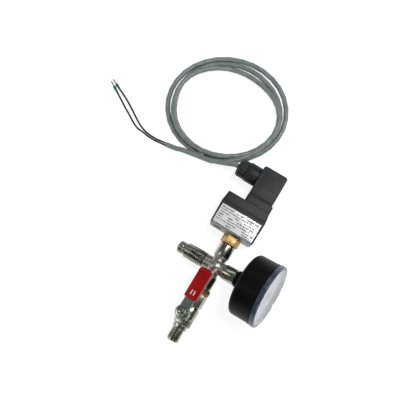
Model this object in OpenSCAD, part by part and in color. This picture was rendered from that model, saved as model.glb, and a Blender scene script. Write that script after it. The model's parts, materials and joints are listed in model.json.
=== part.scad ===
// Pressure switch with its cable plug, on a brass cross manifold that also carries a
// pressure gauge, a relief valve and a small ball valve. Millimetres, +Z up.
// The assembly lies on a flat surface as it does on a bench: on the gauge's front rim, on
// the relief valve's cap and on the back edge of the switch.

/* [Pipe fittings] */
// Outside diameter of the G1/4 pipe thread
pipe_thread_d = 13.16; // [12.6:0.02:13.8]
// Length of thread that goes into a socket
thread_grip = 12; // [9:0.5:13]
// Distance from the cross's centre to the end of a socket
arm_len = 25.5; // [24:0.5:34]
// Length of the thick socket at the end of an arm
socket_len = 14; // [13.5:0.5:15]
// Outside diameter of a socket
socket_d = 16.4; // [15.8:0.2:20]
// Diameter of an arm between the centre and its socket
neck_d = 12.6; // [11.6:0.2:14]
// Diameter of the cross's cast centre
centre_d = 16; // [14:0.5:20]
// Distance from the cross's centre to the end of the relief valve's arm
relief_arm_len = 13.2; // [12.5:0.2:18]
// Bore that the fluid runs through
flow_d = 5; // [3:0.5:6]
// Width across flats of the fitting hexagons
hex_af = 17; // [16.4:0.2:21]
// Length of the double nipple's hexagon
nipple_hex_len = 6.4; // [5:0.2:10]

/* [Ball valve] */
// Length of the valve's end piece that shows
end_piece_len = 13.8; // [13.4:0.2:18]
// Distance from the end piece's hexagon to the centre of the ball
ball_gap = 10.4; // [10:0.2:14]
// Diameter of the ball
ball_d = 13.2; // [12:0.2:13.6]
// Bore through the ball
ball_bore_d = 7; // [5:0.5:8]
// Outside diameter of the ball chamber
chamber_d = 18.8; // [18:0.2:24]
// Length of the hexagon below the ball chamber
tail_hex_len = 8; // [6:0.5:12]
// Diameter of the collar above the inlet thread
collar_d = 15; // [14:0.2:18]
// Length of the collar above the inlet thread
collar_len = 5; // [3:0.5:9]
// Length of the inlet thread
inlet_len = 13.4; // [10:0.2:18]
// Bore of the inlet
inlet_bore_d = 8; // [6:0.5:9]
// Diameter of the valve stem
stem_d = 5.6; // [5:0.2:6.4]
// Height of the stem boss above the pipe's axis
boss_h = 13; // [12:0.5:18]
// Diameter of the stem boss
boss_d = 12.4; // [11.6:0.2:15]

/* [Lever] */
// Distance from the stem to the tip of the sleeve
lever_len = 49; // [44:1:60]
// Diameter of the lever's round end
lever_eye_d = 15; // [12:0.5:18]
// Width of the lever at the stem
lever_w = 11.5; // [9:0.5:12]
// Thickness of the lever's sheet
lever_t = 2; // [1.5:0.1:3]
// Length of the plastic sleeve
sleeve_len = 34; // [28:1:38]
// Width of the plastic sleeve
sleeve_w = 14; // [13.6:0.2:18]
// Thickness of the plastic sleeve
sleeve_t = 5.6; // [4.4:0.2:8]
// Width across flats of the lever's nut
lever_nut_af = 8; // [7:0.5:10]

/* [Relief valve] */
// Outside diameter of the relief valve's body
relief_d = 16; // [15:0.2:20]
// Length of the relief valve's body that shows
relief_len = 23; // [22:0.5:30]
// Length of a discharge window
window_len = 12; // [8:0.5:12]
// Width of a discharge window
window_w = 2.4; // [1.4:0.2:2.6]
// Diameter of the cap
relief_cap_d = 12.8; // [11:0.2:14]
// Length of the cap that shows
relief_cap_len = 9; // [6:0.5:14]
// Lift of the poppet
poppet_lift = 1.5; // [0.5:0.1:2]

/* [Gauge] */
// Outside diameter of the gauge's lens ring
gauge_d = 68; // [66:1:90]
// Outside diameter of the gauge's case
case_d = 66; // [64:1:66]
// Length of the case, without the neck
case_len = 25.5; // [25:0.5:34]
// Length of the neck between the socket and the case
gauge_neck_len = 9; // [6:0.5:14]
// Diameter of the neck
gauge_neck_d = 17.6; // [15:0.2:22]
// Height of the lens ring
lens_ring_h = 5; // [4.4:0.2:8]
// Wall of the case
case_wall = 1.5; // [1:0.1:2]
// Radius of the corner at the back of the case
case_corner_r = 5; // [3:0.5:7]
// Teeth on the pointer's pinion
pinion_teeth = 8; // [8:1:9]
// Turn of the pointer over the whole scale
pointer_sweep = 270; // [180:10:270]

/* [Switch] */
// Width of the switch's housing
body_w = 49; // [48:1:64]
// Depth of the switch's housing
body_d = 34; // [32:1:44]
// Height of the housing's lower shell
body_h = 25; // [24.6:0.2:34]
// Height of the cover
cover_h = 10.4; // [10:0.2:16]
// Height of the pedestal that the plug stands on
pedestal_h = 8.5; // [6:0.5:12]
// Width of the pedestal
pedestal_w = 29.4; // [28.6:0.2:32]
// Distance of the housing's middle to the left of the port
body_shift = 4; // [2:0.5:6]
// Wall of the housing and the cover
shell_wall = 2; // [1.6:0.1:2.4]
// Length of the port's hexagon
port_hex_len = 9.4; // [7:0.2:14]
// Stroke of the piston
piston_stroke = 0.4; // [0.2:0.05:0.5]
// Pitch of the set screw's thread
set_pitch = 0.75; // [0.5:0.05:1]

/* [Plug] */
// Width and depth of the plug
plug_w = 27.5; // [26:0.5:28]
// Height of the plug above its gasket
plug_h = 33; // [30:0.5:40]
// Distance of the plug's middle to the right of the port
plug_shift = 4.6; // [3:0.2:6]
// Diameter of the gland's barrel
barrel_d = 21.4; // [19:0.2:22]
// Length of the gland's barrel
barrel_len = 13.8; // [11:0.2:18]
// Diameter of the gland's nut
gland_nut_d = 20; // [18:0.2:21]
// Length of the gland's nut
gland_nut_len = 10.4; // [8:0.2:14]

/* [Cable] */
// Diameter of the cable's jacket
cable_d = 5.5; // [4:0.1:6.5]
// Diameter of one core's insulation
core_d = 2; // [1.4:0.1:2.4]
// Length of a ferrule's metal pin
ferrule_pin_len = 6.5; // [6:0.5:12]

/* [Hidden] */
$fn = 64;

// Clearances
thread_gap = 0.05;      // radial, in a screwed joint
run_gap = 0.05;         // radial, round a shaft that turns or slides
face_gap = 0.2;         // between faces that are screwed together
cut = 0.5;              // how far a cutting solid runs past a face

// Pipe run, as distances from the cross's centre
thread_r = pipe_thread_d / 2 - thread_gap;
socket_bore_r = pipe_thread_d / 2;
small_thread_r = 4.8;
nipple_top = arm_len + face_gap;
nipple_end = nipple_top + nipple_hex_len;
valve_top = nipple_end + face_gap;
end_piece_end = valve_top + end_piece_len;
ball_drop = end_piece_end + ball_gap;
tail_hex_top = ball_drop + 3.6;
collar_top = tail_hex_top + tail_hex_len;
inlet_top = collar_top + collar_len;
inlet_end = inlet_top + inlet_len;
chamfer = 0.8;

// Ball valve, heights above the pipe's axis
cavity_r = ball_d / 2 + 0.3;
seat_bore_r = ball_bore_d / 2 + 0.3;
seat_t = 2.8;
end_thread_r = 7.7;
end_thread_len = 3.6;
stem_foot = ball_d / 2 - 1.8;
packing_h = 2.4;
packing_r = 4.3;
packing_floor = boss_h - 4;
packing_nut_h = 2.6;
lever_z = boss_h + packing_nut_h + 1;
lever_top = lever_z + lever_t;
lever_nut_h = 4;
nut_flange_r = 5.8;
nut_flange_t = 1.2;
stud_r = 1.9;
stud_top = lever_top + lever_nut_h + 1.2;
sleeve_tip_r = sleeve_w / 2;
lever_tip_w = lever_w - 2;

// Relief valve, as distances from the cross's centre
relief_start = relief_arm_len + face_gap;
relief_end = relief_start + relief_len;
relief_tip = relief_end + relief_cap_len;
relief_chamber_r = relief_d / 2 - 2.2;
relief_seat = relief_start + 2;
poppet_top = relief_seat + 4.2;
cap_spigot = relief_end - 4;
window_mid = relief_start + 9.5;
lock_screw_at = relief_end - 2.4;
edge_r = 1.5;           // rounding of the cap's and the lens ring's rims

// Gauge, as distances from the cross's centre
gauge_start = arm_len + face_gap;
case_back = gauge_start + gauge_neck_len;
case_front = case_back + case_len;
gauge_front = case_front + lens_ring_h;
movement_z = case_back + 12;
plate_t = 1;
plate_gap = 6;
upper_plate = movement_z + plate_t + plate_gap;
gear_z = movement_z + plate_t + 2;
gear_t = 1;
dial_z = case_front - 1.9;
dial_t = 0.6;
tooth_module = 0.4;
sector_teeth = 8 * pinion_teeth;
pinion_r = tooth_module * pinion_teeth / 2;
sector_r = tooth_module * sector_teeth / 2;
sector_drop = pinion_r + sector_r;
arbor_r = 0.6;
tube_r = 20;
tube_w = 2;
tube_h = 7;
tube_z = case_back + 3.5;
tip_angle = -12;
tail_r = 3;
sector_swing = pointer_sweep / 8;
tip_pin = [17.4, -4.4];

// Switch, as heights above the cross's centre; the front faces -Y in its own frame
port_hex = arm_len + face_gap;
base_z = port_hex + port_hex_len + 1;
base_h = 6.4;
housing_z = base_z + 1;
housing_top = housing_z + body_h;
cover_top = housing_top + cover_h;
pedestal_top = cover_top + pedestal_h;
body_x = -body_shift;
rim_w = body_w + 1.6;
cover_w = body_w - 1.2;
corner_r = 2.5;
port_spigot_r = 8;
diaphragm_z = base_z + 4.4;
diaphragm_t = 1;
base_top = base_z + base_h;
piston_z = diaphragm_z + diaphragm_t + run_gap;
piston_r = 6;
rocker_z = base_top + 13;
rocker_t = 2;
pivot_x = -9;
pin_r = 1.5;
set_x = -19.4;
set_shaft_r = 1.8;
pocket = [9.2, 9, 5];
plate_z = base_top + 3.4;
plate_r = 4.6;
button_x = pivot_x + 4 / 3 * -pivot_x;
button_r = 1.2;
snap_z = rocker_z + rocker_t + 1.1;
blade_at = [[-4.7, -7], [-4.7, 7], [7, 0], [-9.5, 0]];
blade = [6, 0.8];

// Plug
gasket_t = 1.5;
plug_z = pedestal_top + gasket_t;
plug_top = plug_z + plug_h;
plug_left = plug_shift - plug_w / 2;
gland_z = plug_top - 12;
barrel_end = plug_left - barrel_len;
gland_end = barrel_end - gland_nut_len;
plug_wall = 2.4;
cable_hole_r = cable_d / 2 + 0.2;

// How the assembly lies: the roll brings the gauge's back edge and the relief cap onto the
// surface, and the pitch brings the switch's lowest back edge onto it
ring_r = gauge_d / 2;
case_r = case_d / 2;
cap_r = relief_cap_d / 2;
rest_span = case_back + case_corner_r + relief_tip - edge_r;
rest_drop = case_r - case_corner_r - cap_r + edge_r;
roll = atan2(rest_drop, rest_span)
    + asin((case_corner_r - edge_r) / norm([rest_span, rest_drop]));
axis_h = edge_r + (relief_tip - edge_r) * sin(roll) + (cap_r - edge_r) * cos(roll);
function pitch_onto(depth, height) =
    acos(axis_h / norm([depth, height])) - atan2(height, depth);
pitch = max(pitch_onto(plug_w / 2, plug_top), pitch_onto(body_d / 2, cover_top));

// The origin is under the middle of the assembly, cable aside
reach_right = (gauge_front - edge_r) * cos(roll) + (ring_r - edge_r) * sin(roll) + edge_r;
reach_left = (relief_tip - edge_r) * cos(roll) + (cap_r - edge_r) * sin(roll) + edge_r;
reach_up = plug_top * cos(pitch) + plug_w / 2 * abs(sin(pitch));
reach_down = inlet_end * cos(pitch) + socket_bore_r * abs(sin(pitch));
rest_at = [(reach_left - reach_right) / 2, (reach_down - reach_up) / 2, axis_h];

// Cable route on the bench
coil_at = [-91, 140];
coil_turn = 21;
coil_half = [68.4, 60.6];
coil_w = 16;
coil_h = 11;
lead_points = [
    [-58, 86.2, 13], [-64, 84.4, 10], [-70, 83, 7], [-77, 81.6, 5],
    [-84, 80.3, 3.5], [-91, 79.5, 3]
];
tail_points = [
    [-94, 81, 3], [-101, 78, 3], [-108, 75.5, 3], [-116, 73.5, 3], [-128, 71.5, 3]
];
core_a_points = [
    [-128, 72.7, 3], [-134, 72.3, 2], [-141, 71.6, 1.2], [-149, 71.8, 1.2],
    [-156, 73, 1.2], [-164, 76, 1.2], [-171, 80, 1.2], [-178, 84.5, 1.2],
    [-187, 90, 1.2], [-196, 94.8, 1.2], [-207, 100, 1.2]
];
core_b_points = [
    [-128, 70.3, 3], [-134, 70, 2], [-141, 69.4, 1.2], [-149, 69.5, 1.2],
    [-156, 70.5, 1.2], [-165, 71.5, 1.2], [-173.5, 75.5, 1.2], [-181, 80, 1.2],
    [-189, 84.5, 1.2], [-198, 90, 1.2], [-208, 96, 1.2]
];
tube_sides = 8;
ferrule_collar_len = 5;
ferrule_collar_r = 1.7;
ferrule_r = 0.6;

// ---------------------------------------------------------------- frames

// The manifold's own frame: +Y to the switch, +X to the gauge, +Z to the lever's side
module manifold_frame() {
    translate(rest_at) rotate([pitch, 0, 0]) rotate([0, -roll, 0]) children();
}

// Along the pipe to the ball valve: +Z away from the cross, +Y to the lever's side
module drop_frame() {
    manifold_frame() rotate([90, 0, 0]) children();
}

// At the ball: +Z up the stem, +Y to the cross
module stem_frame() {
    manifold_frame() translate([0, -ball_drop, 0]) children();
}

// Along the gauge's axis: +Z to its front
module gauge_frame() {
    manifold_frame() rotate([0, 90, 0]) children();
}

// Along the relief valve's axis: +Z to its cap, +X to the lever's side
module relief_frame() {
    manifold_frame() rotate([0, -90, 0]) children();
}

// The switch upright on its port: +Z away from the cross, -Y to its label
module switch_frame() {
    translate(rest_at) rotate([pitch - 90, 0, 0]) children();
}

// ---------------------------------------------------------------- shapes

module disc(r, z0, z1) {
    translate([0, 0, z0]) cylinder(r = r, h = z1 - z0);
}

module pipe(r, bore, z0, z1) {
    difference() {
        disc(r, z0, z1);
        disc(bore, z0 - cut, z1 + cut);
    }
}

// Hexagon with both ends chamfered by turning
module turned_hex(af, z0, z1) {
    corner = af / 2 / cos(30);
    land = af / 2;
    intersection() {
        translate([0, 0, z0]) cylinder(r = corner, h = z1 - z0, $fn = 6);
        rotate_extrude() polygon([
            [0, z0], [land, z0], [corner, z0 + chamfer / 2],
            [corner, z1 - chamfer / 2], [land, z1], [0, z1]
        ]);
    }
}

// Turned cylinder with a chamfer at its far end
module turned_end(r, z0, z1) {
    rotate_extrude() polygon([
        [0, z0], [r, z0], [r, z1 - chamfer], [r - chamfer, z1], [0, z1]
    ]);
}

module round_rect(w, d, r) {
    square([w - 2 * r, d], center = true);
    square([w, d - 2 * r], center = true);
    for (x = [-1, 1], y = [-1, 1])
        translate([x * (w / 2 - r), y * (d / 2 - r)]) circle(r = r);
}

module round_box(w, d, r, z0, z1) {
    translate([0, 0, z0]) linear_extrude(z1 - z0) round_rect(w, d, r);
}

// Half section of a disc whose lower corner is rounded
module cup_section(r, h, corner) {
    translate([0, corner]) square([r, h - corner]);
    square([r - corner, h]);
    translate([r - corner, corner]) circle(r = corner);
}

// Tube swept along a list of points, each ring square to the way it goes
function unit(v) = v / norm(v);
function heading(p, i) =
    i == 0 ? unit(p[1] - p[0]) :
    i == len(p) - 1 ? unit(p[i] - p[i - 1]) :
    unit(unit(p[i + 1] - p[i]) + unit(p[i] - p[i - 1]));
function ring_points(c, h, r, sides) =
    let (side = unit(cross(h, [0, 0, 1])), up = cross(side, h))
    [for (k = [0 : sides - 1]) let (a = 360 * k / sides)
        c + r * (cos(a) * side + sin(a) * up)];

module swept_tube(p, r, sides) {
    n = len(p);
    rings = [for (i = [0 : n - 1]) each ring_points(p[i], heading(p, i), r, sides)];
    walls = [for (i = [0 : n - 2], k = [0 : sides - 1])
        let (m = (k + 1) % sides)
        [i * sides + k, i * sides + m, (i + 1) * sides + m, (i + 1) * sides + k]];
    first = [for (k = [sides - 1 : -1 : 0]) k];
    last = [for (k = [0 : sides - 1]) (n - 1) * sides + k];
    polyhedron(points = rings, faces = concat([first], walls, [last]), convexity = 10);
}

// Coil spring about +Z
module coil_spring(r, wire_r, z0, z1, turns) {
    steps = 12 * turns;
    rise = (z1 - z0 - 2 * wire_r) / steps;
    swept_tube([for (i = [0 : steps])
        [r * cos(30 * i), r * sin(30 * i), z0 + wire_r + rise * i]], wire_r, 6);
}

// ---------------------------------------------------------------- manifold

module cross_arm() {
    start = arm_len - socket_len;
    rotate_extrude() polygon([
        [0, 0], [neck_d / 2, 0], [neck_d / 2, start - 2], [socket_d / 2, start],
        [socket_d / 2, arm_len - chamfer], [socket_d / 2 - chamfer, arm_len], [0, arm_len]
    ]);
}

module socket_bore() {
    disc(socket_bore_r, arm_len - thread_grip - cut, arm_len + cut);
}

module cross_fitting() {
    color("lightgray") manifold_frame() difference() {
        union() {
            sphere(d = centre_d);
            rotate([-90, 0, 0]) cross_arm();
            rotate([90, 0, 0]) cross_arm();
            rotate([0, 90, 0]) cross_arm();
            rotate([0, -90, 0]) disc(neck_d / 2, 0, relief_arm_len);
        }
        rotate([-90, 0, 0]) socket_bore();
        rotate([90, 0, 0]) socket_bore();
        rotate([0, 90, 0]) socket_bore();
        rotate([0, -90, 0]) disc(small_thread_r + thread_gap, relief_arm_len - 8, relief_arm_len + cut);
        rotate([90, 0, 0]) disc(flow_d / 2, -arm_len, arm_len);
        rotate([0, 90, 0]) disc(flow_d / 2, -relief_arm_len, arm_len);
    }
}

module double_nipple() {
    color("goldenrod") drop_frame() difference() {
        union() {
            disc(thread_r, nipple_top - thread_grip, nipple_end + thread_grip);
            turned_hex(hex_af, nipple_top, nipple_end);
        }
        disc(flow_d / 2, 0, inlet_end);
    }
}

// ---------------------------------------------------------------- ball valve

module valve_end_piece() {
    color("silver") drop_frame() difference() {
        union() {
            rotate(30) turned_hex(hex_af, valve_top, end_piece_end);
            disc(end_thread_r - thread_gap, end_piece_end - chamfer,
                end_piece_end + end_thread_len);
        }
        disc(socket_bore_r, valve_top - cut, valve_top + thread_grip + cut);
        disc(flow_d / 2, 0, inlet_end);
        disc(seat_bore_r, valve_top + thread_grip, inlet_end);
    }
}

module chamber_outside() {
    start = end_piece_end + face_gap;
    r = chamber_d / 2;
    rotate_extrude() polygon([
        [0, start], [r - 1.4, start], [r, start + 1.4 * 2], [r, tail_hex_top], [0, tail_hex_top]
    ]);
}

module valve_body() {
    seat_floor = ball_drop + ball_d / 2 + 0.4;
    color("silver") drop_frame() difference() {
        union() {
            chamber_outside();
            turned_hex(hex_af, tail_hex_top - chamfer, collar_top);
            disc(collar_d / 2, collar_top - cut, inlet_top);
            turned_end(socket_bore_r, inlet_top - cut, inlet_end);
            translate([0, 0, ball_drop]) rotate([-90, 0, 0]) disc(boss_d / 2, 0, boss_h);
        }
        disc(end_thread_r, end_piece_end, end_piece_end + end_thread_len + cut);
        disc(cavity_r, end_piece_end, seat_floor);
        disc(inlet_bore_d / 2, ball_drop, inlet_end + cut);
        translate([0, 0, ball_drop]) rotate([-90, 0, 0]) {
            disc(stem_d / 2 + run_gap, 0, boss_h + cut);
            disc(packing_r, packing_floor, boss_h + cut);
        }
    }
}

module valve_ball() {
    color("white") stem_frame() difference() {
        sphere(d = ball_d);
        rotate([90, 0, 0]) disc(ball_bore_d / 2, -ball_d, ball_d);
        translate([0, 0, ball_d / 2]) cube([stem_d, 2.6, 3.4], center = true);
    }
}

module valve_seats() {
    top = end_piece_end + end_thread_len + 0.1;
    bottom = ball_drop + ball_d / 2 + 0.3;
    color("white") drop_frame() difference() {
        union() {
            pipe(cavity_r - 0.1, seat_bore_r, top, top + seat_t);
            pipe(cavity_r - 0.1, seat_bore_r, bottom - seat_t, bottom);
        }
        translate([0, 0, ball_drop]) sphere(r = ball_d / 2 + run_gap);
    }
}

module valve_stem() {
    color("goldenrod") stem_frame() {
        difference() {
            disc(stem_d / 2, ball_d / 2 + 0.1, lever_top);
            translate([stem_d / 2 - 0.8, -stem_d, lever_z]) cube([stem_d, 2 * stem_d, 2 * lever_t]);
        }
        translate([0, 0, stem_foot + 1.2]) cube([stem_d - 1.4, 2.4, 2.2], center = true);
        disc(stud_r, lever_top - cut, stud_top);
    }
}

module stem_packing() {
    color("white") stem_frame()
        pipe(packing_r - run_gap, stem_d / 2 + run_gap, packing_floor, packing_floor + packing_h);
}

module packing_nut() {
    color("silver") stem_frame() difference() {
        union() {
            disc(packing_r - run_gap, packing_floor + packing_h + 0.1, boss_h + cut);
            turned_hex(10, boss_h + 0.1, boss_h + packing_nut_h);
        }
        disc(stem_d / 2 + run_gap, 0, stud_top);
    }
}

module lever_outline(tip) {
    polygon([
        [-lever_w / 2, 0], [lever_w / 2, 0], [lever_tip_w / 2, tip], [-lever_tip_w / 2, tip]
    ]);
    circle(d = lever_eye_d);
}

module lever_blade(gap) {
    translate([0, 0, lever_z - gap]) linear_extrude(lever_t + 2 * gap)
        lever_outline(lever_len - 3 + gap);
}

module valve_lever() {
    color("lightslategray") stem_frame() difference() {
        lever_blade(0);
        difference() {
            disc(stem_d / 2 + run_gap, 0, stud_top);
            translate([stem_d / 2 - 0.8 + run_gap, -stem_d, 0])
                cube([stem_d, 2 * stem_d, stud_top]);
        }
    }
}

module lever_sleeve() {
    mid = lever_z + lever_t / 2;
    near = lever_len - sleeve_len;
    color("firebrick") stem_frame() difference() {
        translate([0, 0, mid - sleeve_t / 2]) linear_extrude(sleeve_t) {
            translate([-sleeve_w / 2, near]) square([sleeve_w, sleeve_len - sleeve_tip_r]);
            translate([0, lever_len - sleeve_tip_r]) circle(r = sleeve_tip_r);
        }
        translate([-sleeve_w / 2 + 1.6, near - cut, lever_z - 0.1])
            cube([sleeve_w - 3.2, sleeve_len - 2, lever_t + 0.2]);
    }
}

module lever_nut() {
    color("silver") stem_frame() difference() {
        union() {
            disc(nut_flange_r, lever_top + 0.1, lever_top + nut_flange_t);
            turned_hex(lever_nut_af, lever_top + nut_flange_t - cut, lever_top + lever_nut_h);
        }
        disc(stud_r + thread_gap, 0, stud_top + cut);
    }
}

// ---------------------------------------------------------------- relief valve

// Pairs of windows, each pair with a narrow bar between
module relief_windows() {
    for (pair = [0 : 90 : 270], side = [-15, 15])
        rotate(pair + side - 9)
            translate([relief_chamber_r - 1, -window_w / 2, window_mid - window_len / 2])
                cube([relief_d, window_w, window_len]);
}

module relief_body() {
    color("silver") relief_frame() difference() {
        union() {
            disc(small_thread_r, relief_start - 7, relief_start + cut);
            turned_end(relief_d / 2, relief_start, relief_end);
        }
        disc(1.6, 0, relief_end);
        disc(relief_chamber_r, relief_seat, relief_end + cut);
        relief_windows();
        rotate(-30) translate([0, 0, lock_screw_at]) rotate([0, 90, 0]) disc(1.3, 0, relief_d);
    }
}

module relief_poppet() {
    stem_len = (cap_spigot - poppet_top) / 2;
    color("goldenrod") relief_frame() difference() {
        union() {
            disc(relief_chamber_r - 0.3, relief_seat + 1.4, poppet_top);
            disc(1.4, poppet_top - cut, poppet_top + stem_len);
        }
        for (a = [0 : 60 : 300])
            rotate(a) translate([relief_chamber_r, 0, 0]) disc(1, relief_seat, poppet_top + cut);
    }
}

module relief_seal() {
    color("dimgray") relief_frame() disc(3, relief_seat + 0.1, relief_seat + 1.3);
}

module relief_spring() {
    color("gray") relief_frame() coil_spring(3.4, 0.5, poppet_top + 0.1, cap_spigot - 0.1, 5);
}

module relief_cap() {
    color("silver") relief_frame() {
        difference() {
            disc(relief_chamber_r - thread_gap, cap_spigot, relief_end + 0.6);
            rotate(-30) translate([relief_chamber_r - 1.4, 0, lock_screw_at])
                rotate([0, 90, 0]) disc(1.3, 0, relief_d);
        }
        translate([0, 0, relief_tip]) mirror([0, 0, 1])
            rotate_extrude() cup_section(cap_r, relief_cap_len - 0.1, edge_r);
    }
}

module relief_lock_screw() {
    color("dimgray") relief_frame() rotate(-30) translate([0, 0, lock_screw_at])
        rotate([0, 90, 0]) difference() {
            disc(1.25, relief_chamber_r - 1.2, relief_d / 2 - 0.1);
            translate([0, 0, relief_d / 2 - 1]) cylinder(r = 0.7, h = 2, $fn = 6);
        }
}

// ---------------------------------------------------------------- gauge

module gauge_case() {
    color("black") gauge_frame() difference() {
        union() {
            translate([0, 0, case_back]) rotate_extrude()
                cup_section(case_r, case_len, case_corner_r);
            disc(gauge_neck_d / 2, gauge_start, case_back + 1);
        }
        translate([0, 0, case_back + case_wall]) rotate_extrude()
            cup_section(case_r - case_wall, case_len, case_corner_r - case_wall);
        disc(6.1, 0, case_front);
    }
}

module gauge_socket() {
    block_z = case_back + 2.5;
    color("goldenrod") gauge_frame() difference() {
        union() {
            disc(thread_r, arm_len - thread_grip, arm_len);
            disc(6, arm_len - cut, block_z + cut);
            translate([-5.5, -tube_r - 1.5, block_z])
                cube([11, tube_r + 7, movement_z - block_z]);
        }
        disc(flow_d / 2, 0, block_z + 4);
    }
}

module bourdon_tube() {
    span = 254 - tip_angle;
    color("goldenrod") gauge_frame() {
        rotate(tip_angle) rotate_extrude(angle = span)
            translate([tube_r - tube_w / 2, tube_z]) square([tube_w, tube_h]);
        rotate(tip_angle - 4) translate([tip_pin[0] - 0.6, -1, tube_z + 2])
            cube([tube_r - tip_pin[0] + 1.6, 3, 3]);
        translate(tip_pin) disc(0.7, tube_z + 2, gear_z + gear_t + 1.2);
    }
}

// Where the sector's tail pin stands with no pressure
tail_pin = [-tail_r * sin(sector_swing / 2), -sector_drop - tail_r * cos(sector_swing / 2)];

module gauge_link() {
    run = tip_pin - tail_pin;
    color("goldenrod") gauge_frame() translate([0, 0, gear_z + gear_t + 0.2]) linear_extrude(0.6)
        difference() {
            union() {
                translate(tail_pin) circle(r = 1.2);
                translate(tip_pin) circle(r = 1.4);
                translate(tail_pin) rotate(atan2(run[1], run[0])) translate([0, -0.5])
                    square([norm(run), 1]);
            }
            translate(tail_pin) circle(r = 0.75);
            translate(tip_pin) circle(r = 0.9);
        }
}

module gear_tooth(r) {
    polygon([
        [r - 0.5, -0.32], [r, -0.21], [r + 0.3, -0.07],
        [r + 0.3, 0.07], [r, 0.21], [r - 0.5, 0.32]
    ]);
}

module gauge_sector() {
    step = 360 / sector_teeth;
    first = -ceil(sector_swing / step) - 2;
    root = sector_r - 0.42;
    low = 90 + (first - 0.2) * step;
    high = 90 + 2.2 * step;
    color("goldenrod") gauge_frame() translate([0, -sector_drop, 0]) {
        translate([0, 0, gear_z]) linear_extrude(gear_t) {
            for (k = [first : 1]) rotate(90 + (k + 0.5) * step) gear_tooth(sector_r);
            polygon(concat([[0, 0]], [for (i = [0 : 12]) let (a = low + (high - low) * i / 12)
                [root * cos(a), root * sin(a)]]));
            circle(r = 1.6);
            rotate(-90 - sector_swing / 2) translate([0, -0.7]) square([tail_r + 0.6, 1.4]);
        }
        disc(arbor_r, movement_z + 0.1, upper_plate + plate_t - 0.1);
        rotate(-90 - sector_swing / 2) translate([tail_r, 0, 0])
            disc(0.5, gear_z, gear_z + gear_t + 1);
    }
}

module gauge_arbor() {
    color("goldenrod") gauge_frame() {
        disc(arbor_r, movement_z + 0.1, case_front + 0.5);
        translate([0, 0, gear_z - 0.3]) linear_extrude(gear_t + 0.6) {
            circle(r = pinion_r - 0.42);
            for (k = [0 : pinion_teeth - 1]) rotate(-90 + 360 * k / pinion_teeth) gear_tooth(pinion_r);
        }
    }
}

module movement_plate(z) {
    difference() {
        translate([0, -sector_drop / 2, 0]) round_box(15, sector_drop + 9, 3, z, z + plate_t);
        disc(arbor_r + run_gap, z - cut, z + plate_t + cut);
        translate([0, -sector_drop, 0]) disc(arbor_r + run_gap, z - cut, z + plate_t + cut);
    }
}

module movement_plates() {
    color("goldenrod") gauge_frame() {
        movement_plate(movement_z);
        movement_plate(upper_plate);
        for (x = [-5.6, 5.6], y = [2.6, -sector_drop - 2.6])
            translate([x, y, 0]) disc(1.1, movement_z + plate_t / 2, upper_plate + plate_t / 2);
        for (x = [-5, 5])
            translate([x, -sector_drop / 2, 0]) pipe(1.8, 1, upper_plate + plate_t / 2, dial_z - 0.1);
    }
}

module hairspring() {
    turns = 3;
    step = 20;
    growth = 3.2 / (360 * turns);
    wire_t = 0.2;
    function spot(r, a) = [r * cos(a), r * sin(a)];
    path = [for (a = [0 : step : 360 * turns]) spot(1 + a * growth, a)];
    back = [for (a = [360 * turns : -step : 0]) spot(1 + wire_t + a * growth, a)];
    color("gray") gauge_frame() translate([0, 0, gear_z + gear_t + 1.4])
        linear_extrude(0.8) polygon(concat(path, back));
}

module gauge_dial() {
    color("white") gauge_frame() difference() {
        disc(case_r - case_wall - 0.4, dial_z, dial_z + dial_t);
        disc(1.6, 0, case_front);
        for (x = [-5, 5]) translate([x, -sector_drop / 2, 0]) disc(1.05, 0, case_front);
    }
}

module dial_screws() {
    color("silver") gauge_frame() for (x = [-5, 5]) translate([x, -sector_drop / 2, 0]) {
        disc(0.95, upper_plate + plate_t, dial_z + dial_t + 0.2);
        disc(1.8, dial_z + dial_t + 0.02, dial_z + dial_t + 0.6);
    }
}

// The needle stands at zero, 135 degrees left of the dial's top
module gauge_pointer() {
    hub_z = case_front - 0.4;
    color("black") gauge_frame() difference() {
        translate([0, 0, hub_z]) {
            cylinder(r = 2.6, h = 1);
            linear_extrude(0.5) rotate(90 + 135)
                polygon([[-8, -1.2], [0, -1], [24, -0.3], [24, 0.3], [0, 1], [-8, 1.2]]);
        }
        disc(arbor_r + 0.02, 0, gauge_front);
    }
}

module gauge_lens() {
    color("lightsteelblue") gauge_frame() difference() {
        translate([0, 0, gauge_front]) mirror([0, 0, 1])
            rotate_extrude() cup_section(ring_r, lens_ring_h - 0.1, edge_r);
        disc(case_r - case_wall, 0, gauge_front - 2);
    }
}

// ---------------------------------------------------------------- switch

module pressure_port() {
    color("goldenrod") switch_frame() difference() {
        union() {
            disc(thread_r, arm_len - thread_grip, arm_len + 1);
            turned_hex(hex_af, port_hex, base_z - 1);
            disc(9.5, base_z - 1, base_z);
            disc(port_spigot_r, base_z - cut, diaphragm_z);
        }
        disc(flow_d / 2, 0, base_top);
        disc(port_spigot_r - 1.6, diaphragm_z - 1, base_top);
    }
}

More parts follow.
